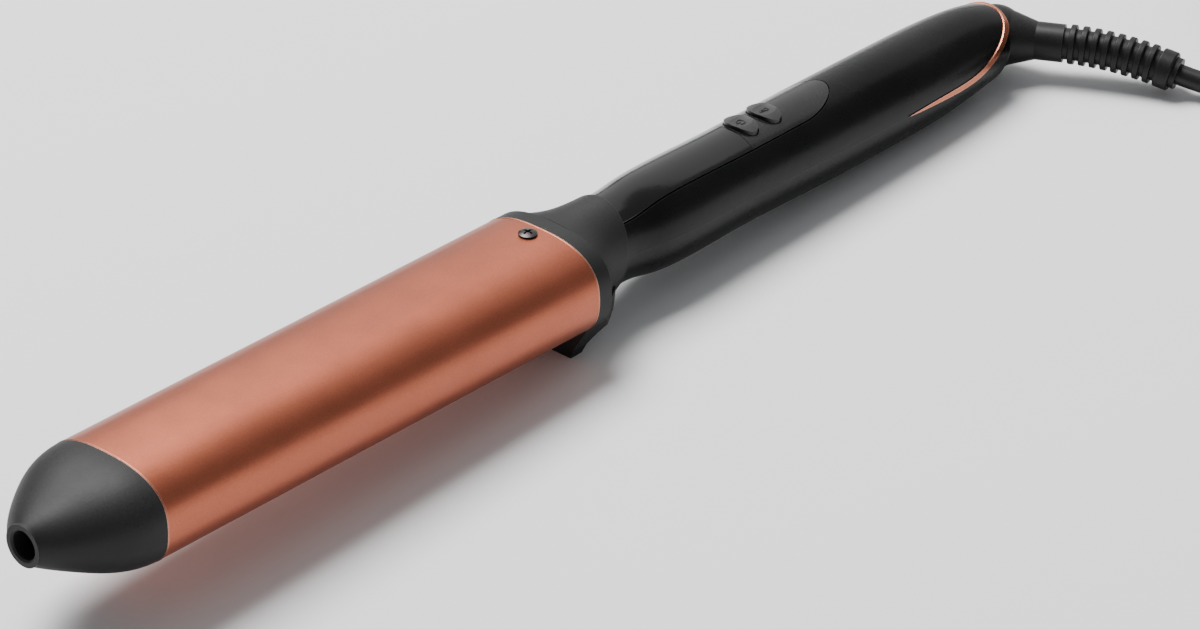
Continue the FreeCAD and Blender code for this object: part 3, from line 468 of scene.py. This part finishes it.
# %% Bare metals
def bare_metal(slot, colour, roughness, across=5200.0, along=70.0, distance=0.00001):
    tree, shader = start_finish(slot, metallic=1.0)
    base = use(tree, tone_group, Colour=(*colour, 1), Spread=0.07, Scale=60.0)
    edge = use(tree, edge_group, Width=0.00015, Strength=0.7)["Mask"]
    with_edges = blended(tree, edge, base["Colour"], paler(colour, 1.5, 0.05))
    lines = use(tree, line_group, Across=across, Along=along)["Lines"]
    gloss = use(tree, handling_group, Roughness=roughness, Spread=0.05)["Roughness"]
    connect(tree, shader, with_edges, gloss, lines, distance)


bare_metal("black_steel", (0.055, 0.052, 0.050), 0.34)
bare_metal("bare_aluminium", (0.76, 0.77, 0.78), 0.38)
bare_metal("spring_steel", (0.52, 0.53, 0.55), 0.30)
bare_metal("zinc_steel", (0.60, 0.61, 0.63), 0.33)
bare_metal("brass_contact", (0.72, 0.52, 0.22), 0.26)
bare_metal("plug_metal", (0.72, 0.70, 0.66), 0.22, 3000.0, 400.0, 0.000004)
print("bare metals ready")

# %% [markdown]
# ## Window, guide and glass
# The lamp window is smoked and polished, so almost all that it shows is reflection with faint finger marks.
# The light guide and the sensor's bead let light through, which is a constant of the material.

# %% Clear and smoked finishes
def polished(slot, colour, roughness, through=0.0):
    tree, shader = start_finish(slot)
    shader.inputs["Transmission Weight"].default_value = through
    base = use(tree, tone_group, Colour=(*colour, 1), Spread=0.05, Scale=25.0)
    gloss = use(tree, handling_group, Roughness=roughness, Spread=0.03)["Roughness"]
    relief = use(tree, grain_group, Scale=900.0, Contrast=1.0)["Height"]
    connect(tree, shader, base["Colour"], gloss, relief, 0.000004)


polished("smoked_gloss", (0.005, 0.005, 0.0048), 0.15)
polished("clear_plastic", (0.85, 0.87, 0.88), 0.35, through=0.7)
polished("sensor_glass", (0.80, 0.72, 0.55), 0.15, through=0.9)
print("finishes", len(FINISHES))

# %% [markdown]
# ## Circuit board and strap
# Two finishes have a pattern of their own. The board's green varnish shows the copper tracks under it as
# slightly paler bands. The tie is a woven strap: two sets of fine waves cross, one for each set of threads.

# %% Board with its tracks
tree, shader = start_finish("board_green")
spot = add(tree, "ShaderNodeTexCoord").outputs["Object"]
tracks = add(tree, "ShaderNodeTexBrick", {"Vector": spot, "Scale": 260.0, "Mortar Size": 0.06})
tracks.offset = 0.37
track_mask = math_node(tree, "SUBTRACT", 1.0, tracks.outputs["Fac"])
green = use(tree, tone_group, Colour=(0.020, 0.13, 0.055, 1), Spread=0.06, Scale=50.0)["Colour"]
board_colour = blended(tree, track_mask, (0.05, 0.24, 0.11, 1), green)
board_gloss = use(tree, handling_group, Roughness=0.28, Spread=0.04)["Roughness"]
connect(tree, shader, board_colour, board_gloss, tracks.outputs["Fac"], 0.00003)
print("board ready")

# %% Woven strap
tree, shader = start_finish("tie_plastic", specular=0.35)
spot = add(tree, "ShaderNodeTexCoord").outputs["Object"]
threads = [
    add(tree, "ShaderNodeTexWave", {"Vector": spot, "Scale": 260.0, "Distortion": 0.6}, bands_direction=way)
    for way in ("X", "Y", "Z")
]
crossing = math_node(tree, "MULTIPLY", threads[0].outputs["Fac"], threads[1].outputs["Fac"])
crossing = math_node(tree, "ADD", crossing, math_node(tree, "MULTIPLY", threads[2].outputs["Fac"], 0.4))
thread_colour = blended(tree, crossing, (0.006, 0.006, 0.0065, 1), (0.024, 0.024, 0.026, 1))
strap_gloss = use(tree, handling_group, Roughness=0.62, Spread=0.06)["Roughness"]
connect(tree, shader, thread_colour, strap_gloss, crossing, 0.00012)
print("finishes", len(FINISHES), sorted(FINISHES))

# %% [markdown]
# ## Dress the model
# The record says which finish each engineered part takes. Their shapes are right as they are, so each keeps
# its mesh and gets the better material in its own slot.

# %% Put the finishes on the engineered parts
for part in frame["record"]["subparts"]:
    piece = nodes[part["node"]]
    paint = FINISHES[part["material_slot"]]
    if not piece.material_slots:
        piece.data.materials.append(paint)
    for holder in piece.material_slots:
        holder.material = paint


def dress(piece, slot, body):
    """Give an added piece its finish and the body it moves with."""
    piece.data.materials.append(FINISHES[slot])
    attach(piece, body)
    return piece


cord.data.materials.append(FINISHES["cord_rubber"])

# %% [markdown]
# ## The barrel's rolled ends
# The barrel is a drawn tube whose cut ends are rolled over, so a fine bright bead runs round it where it
# meets the tip and the collar. A chamfer in the tube would be too small to catch light; a thin closed curve
# along the same oval gives a clean round bead.

# %% Roll the barrel's ends
BARREL_HALF_WIDTH = 0.0203
BARREL_HALF_HEIGHT = 0.0134
OVAL_POWER = 2.56
BARREL_LENGTH = 0.150
BEAD_RADIUS = 0.00028
BEAD_FROM_END = 0.0004


def once_round(count):
    """Evenly spaced angles round a full turn."""
    return [2 * math.pi * i / count for i in range(count)]


def squared_oval(half_width, half_height, power, count):
    """Points round an oval; a smaller power gives squarer corners."""
    points = []
    for angle in once_round(count):
        c, s = math.cos(angle), math.sin(angle)
        across = math.copysign(half_width * abs(c) ** power, c)
        upwards = math.copysign(half_height * abs(s) ** power, s)
        points.append((across, upwards))
    return points


def barrel_round(x, inset):
    """Points round the barrel's oval, in the table's frame."""
    outline = squared_oval(BARREL_HALF_WIDTH - inset, BARREL_HALF_HEIGHT - inset, 2 / OVAL_POWER, 72)
    return [WAND @ Vector((x, y, z)) for y, z in outline]


for name, x in (("barrel_front_bead", BEAD_FROM_END), ("barrel_rear_bead", BARREL_LENGTH - BEAD_FROM_END)):
    bead = round_curve(name, barrel_round(x, BEAD_RADIUS * 0.55), BEAD_RADIUS, closed=True)
    dress(bead, "copper_coating", "wand")

# %% [markdown]
# ## Marks on the buttons
# Both buttons carry a small raised mark that a thumb can feel: the usual on and off sign, and a plain
# thermometer. They are moulded with the button, so they follow its dished top and take its finish.

# %% Find the buttons' dished tops
POWER_ALONG = 0.2262
TEMPERATURE_ALONG = 0.2352
BUTTON_TOP = 0.0145                # height of a button's crown over the wand's axis
DISH_RADIUS = 0.016
DISH_DEPTH = 0.00045
MARK_RADIUS = 0.00017
MARK_PROUD = 0.25                  # how far a mark's middle stands over the button, in its own radii


def button_point(along_wand, dx, dy):
    """A point on a button's top, dx down the wand and dy across it from the button's middle."""
    dish = BUTTON_TOP - DISH_DEPTH + DISH_RADIUS - math.sqrt(DISH_RADIUS ** 2 - dx * dx - dy * dy)
    crown = math.sqrt(BUTTON_TOP ** 2 - dy * dy)
    return WAND @ Vector((along_wand + dx, dy, min(dish, crown) + MARK_RADIUS * MARK_PROUD))


print("power button middle", [round(v, 4) for v in button_point(POWER_ALONG, 0, 0)])

# %% Raise the marks
def mark(name, along_wand, strokes, body):
    """Several strokes joined into one piece; a stroke is a list of (dx, dy) in millimetres."""
    lines = [[button_point(along_wand, dx / 1000, dy / 1000) for dx, dy in stroke] for stroke in strokes]
    piece = round_curve(name, lines[0], MARK_RADIUS)
    for line in lines[1:]:
        fill_spline(piece.data, line, MARK_RADIUS)
    return dress(piece, "button_plastic", body)


def arc(radius, start, end, count=14, cx=0.0):
    turns = [math.radians(start + (end - start) * i / (count - 1)) for i in range(count)]
    return [(cx + radius * math.cos(t), radius * math.sin(t)) for t in turns]


power_bar = [(-0.2, 0.0), (-0.8, 0.0), (-1.5, 0.0)]
mark("power_mark", POWER_ALONG, [arc(1.15, -140, 140), power_bar], "power_button")
bulb = arc(0.62, -150, 150, cx=0.95)
stem = [(0.5, -0.32), (-0.3, -0.32), (-1.1, -0.32), (-1.45, 0.0), (-1.1, 0.32), (-0.3, 0.32), (0.5, 0.32)]
mark("temperature_mark", TEMPERATURE_ALONG, [bulb, stem], "temperature_button")

# %% [markdown]
# ## The plug
# A moulded mains plug has ribs to grip, rings on the boot where the cord enters, and insulating sleeves over
# the roots of its pins. The ribs and rings are round bars made as curves; the sleeves are turned profiles,
# spun about the pin's axis.

# %% Grip ribs and boot rings
PLUG_X = 0.3149
PLUG_REAR_Y = -0.0276              # where the plug's body starts
PLUG_FRONT_Y = 0.0054
PLUG_MIDDLE_Z = 0.00695
PLUG_TOP_Z = 0.01385

RIB_RADIUS = 0.00055
RIB_STEP = 0.0032
RING_RADIUS = 0.0006
RING_STEP = 0.0034

for i in range(5):
    y = PLUG_FRONT_Y - 0.006 - RIB_STEP * i
    half_length = 0.0125 - 0.0012 * i      # the plug narrows towards its boot
    ends = [Vector((PLUG_X + side * half_length, y, PLUG_TOP_Z + 0.0001)) for side in (-1, -0.4, 0.4, 1)]
    rib = round_curve(f"plug_grip_rib_{i + 1}", ends, RIB_RADIUS)
    dress(rib, "plug_rubber", "cord")
for i in range(3):
    y = PLUG_REAR_Y - 0.0105 + RING_STEP * i
    radius = 0.00385 + 0.00035 * i         # the boot widens towards the plug
    circle = [
        Vector((PLUG_X + radius * math.cos(t), y, PLUG_MIDDLE_Z + radius * math.sin(t)))
        for t in once_round(24)
    ]
    ring = round_curve(f"plug_boot_ring_{i + 1}", circle, RING_RADIUS, closed=True)
    dress(ring, "plug_rubber", "cord")

# %% Pin sleeves
SLEEVE_PROFILE = [(0.0, 0.0024), (0.0008, 0.00225), (0.0085, 0.00215), (0.0092, 0.00205), (0.0092, 0.00190)]
PIN_OFFSET = 0.0093


def pin_sleeves():
    build = bmesh.new()
    segments = 40
    for side in (-1, 1):
        rings = []
        for y, radius in SLEEVE_PROFILE:
            pin_x = PLUG_X + side * PIN_OFFSET
            rings.append([
                build.verts.new((
                    pin_x + radius * math.cos(t), PLUG_FRONT_Y + y, PLUG_MIDDLE_Z + radius * math.sin(t)))
                for t in once_round(segments)
            ])
        for first, second in zip(rings, rings[1:]):
            for j in range(segments):
                k = (j + 1) % segments
                build.faces.new((first[j], first[k], second[k], second[j])).smooth = True
    bmesh.ops.recalc_face_normals(build, faces=build.faces)
    mesh = bpy.data.meshes.new("plug_pin_sleeves")
    build.to_mesh(mesh)
    build.free()
    piece = bpy.data.objects.new("plug_pin_sleeves", mesh)
    bpy.context.scene.collection.objects.link(piece)
    return piece


dress(pin_sleeves(), "plug_rubber", "cord")

# %% [markdown]
# ## The tie's buckle
# The strap that holds the coil closes in a small plain buckle on top. It is a bent rod, so a closed curve
# with a bevel makes it, and it lies on the strap.

# %% Buckle the tie
tie_low, tie_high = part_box("cord_tie")
tie_middle = (tie_low + tie_high) / 2
BUCKLE_HALF = (0.0056, 0.0032)
BUCKLE_ROD = 0.0007
BUCKLE_POWER = 0.45
corners = [
    Vector((tie_middle.x + x, tie_middle.y + y, tie_high.z + BUCKLE_ROD))
    for x, y in squared_oval(*BUCKLE_HALF, BUCKLE_POWER, 24)
]
buckle = dress(round_curve("tie_buckle", corners, BUCKLE_ROD, closed=True), "tie_plastic", "cord")

# %% [markdown]
# ## Table and light
# A product is lit so that its own curves draw the highlights. A large soft panel beyond the wand is what the
# crown of the barrel reflects, so it shows as one broad bright band. A smaller, stronger one, high on the far
# side, lights the table and throws the wand's soft shadow to the near side, which darkens the barrel's lower
# edge. The room itself stays dim, which keeps black plastic black.

# %% Table
TABLE_HALF = 6.0
table_mesh = bpy.data.meshes.new("table")
table_corners = [(x * TABLE_HALF, y * TABLE_HALF, 0) for x, y in ((-1, -1), (1, -1), (1, 1), (-1, 1))]
table_mesh.from_pydata(table_corners, [], [(0, 1, 2, 3)])
table = bpy.data.objects.new("table", table_mesh)
bpy.context.scene.collection.objects.link(table)
tree, shader = start_finish("table_paint", specular=0.2)
shade = use(tree, tone_group, Colour=(0.90, 0.90, 0.90, 1), Spread=0.01, Scale=1.5)["Colour"]
soft = use(tree, handling_group, Roughness=0.75, Spread=0.02)["Roughness"]
connect(tree, shader, shade, soft, use(tree, grain_group, Scale=900.0, Contrast=1.0)["Height"], 0.00001)
table_mesh.materials.append(FINISHES["table_paint"])
print("table", TABLE_HALF * 2, "m wide")

# %% Lights
def soft_panel(name, place, size, watts):
    """A rectangular light that faces the middle of the table."""
    data = bpy.data.lights.new(name, "AREA")
    data.shape = "RECTANGLE"
    data.size, data.size_y = size
    data.energy = watts
    lamp = bpy.data.objects.new(name, data)
    lamp.location = place
    lamp.rotation_mode = "QUATERNION"
    lamp.rotation_quaternion = (-Vector(place)).to_track_quat("-Z", "Y")
    bpy.context.scene.collection.objects.link(lamp)


soft_panel("far_panel", (1.61, 0.65, 1.0), size=(2.4, 1.7), watts=10)
soft_panel("key_panel", (0.25, 0.95, 2.0), size=(1.2, 1.2), watts=98)
ROOM_COLOUR = (0.92, 0.94, 0.97, 1)
ROOM_STRENGTH = 0.3
world = bpy.data.worlds.new("studio")
bpy.context.scene.world = world
world.use_nodes = True
room = world.node_tree.nodes["Background"].inputs
room["Color"].default_value = ROOM_COLOUR
room["Strength"].default_value = ROOM_STRENGTH
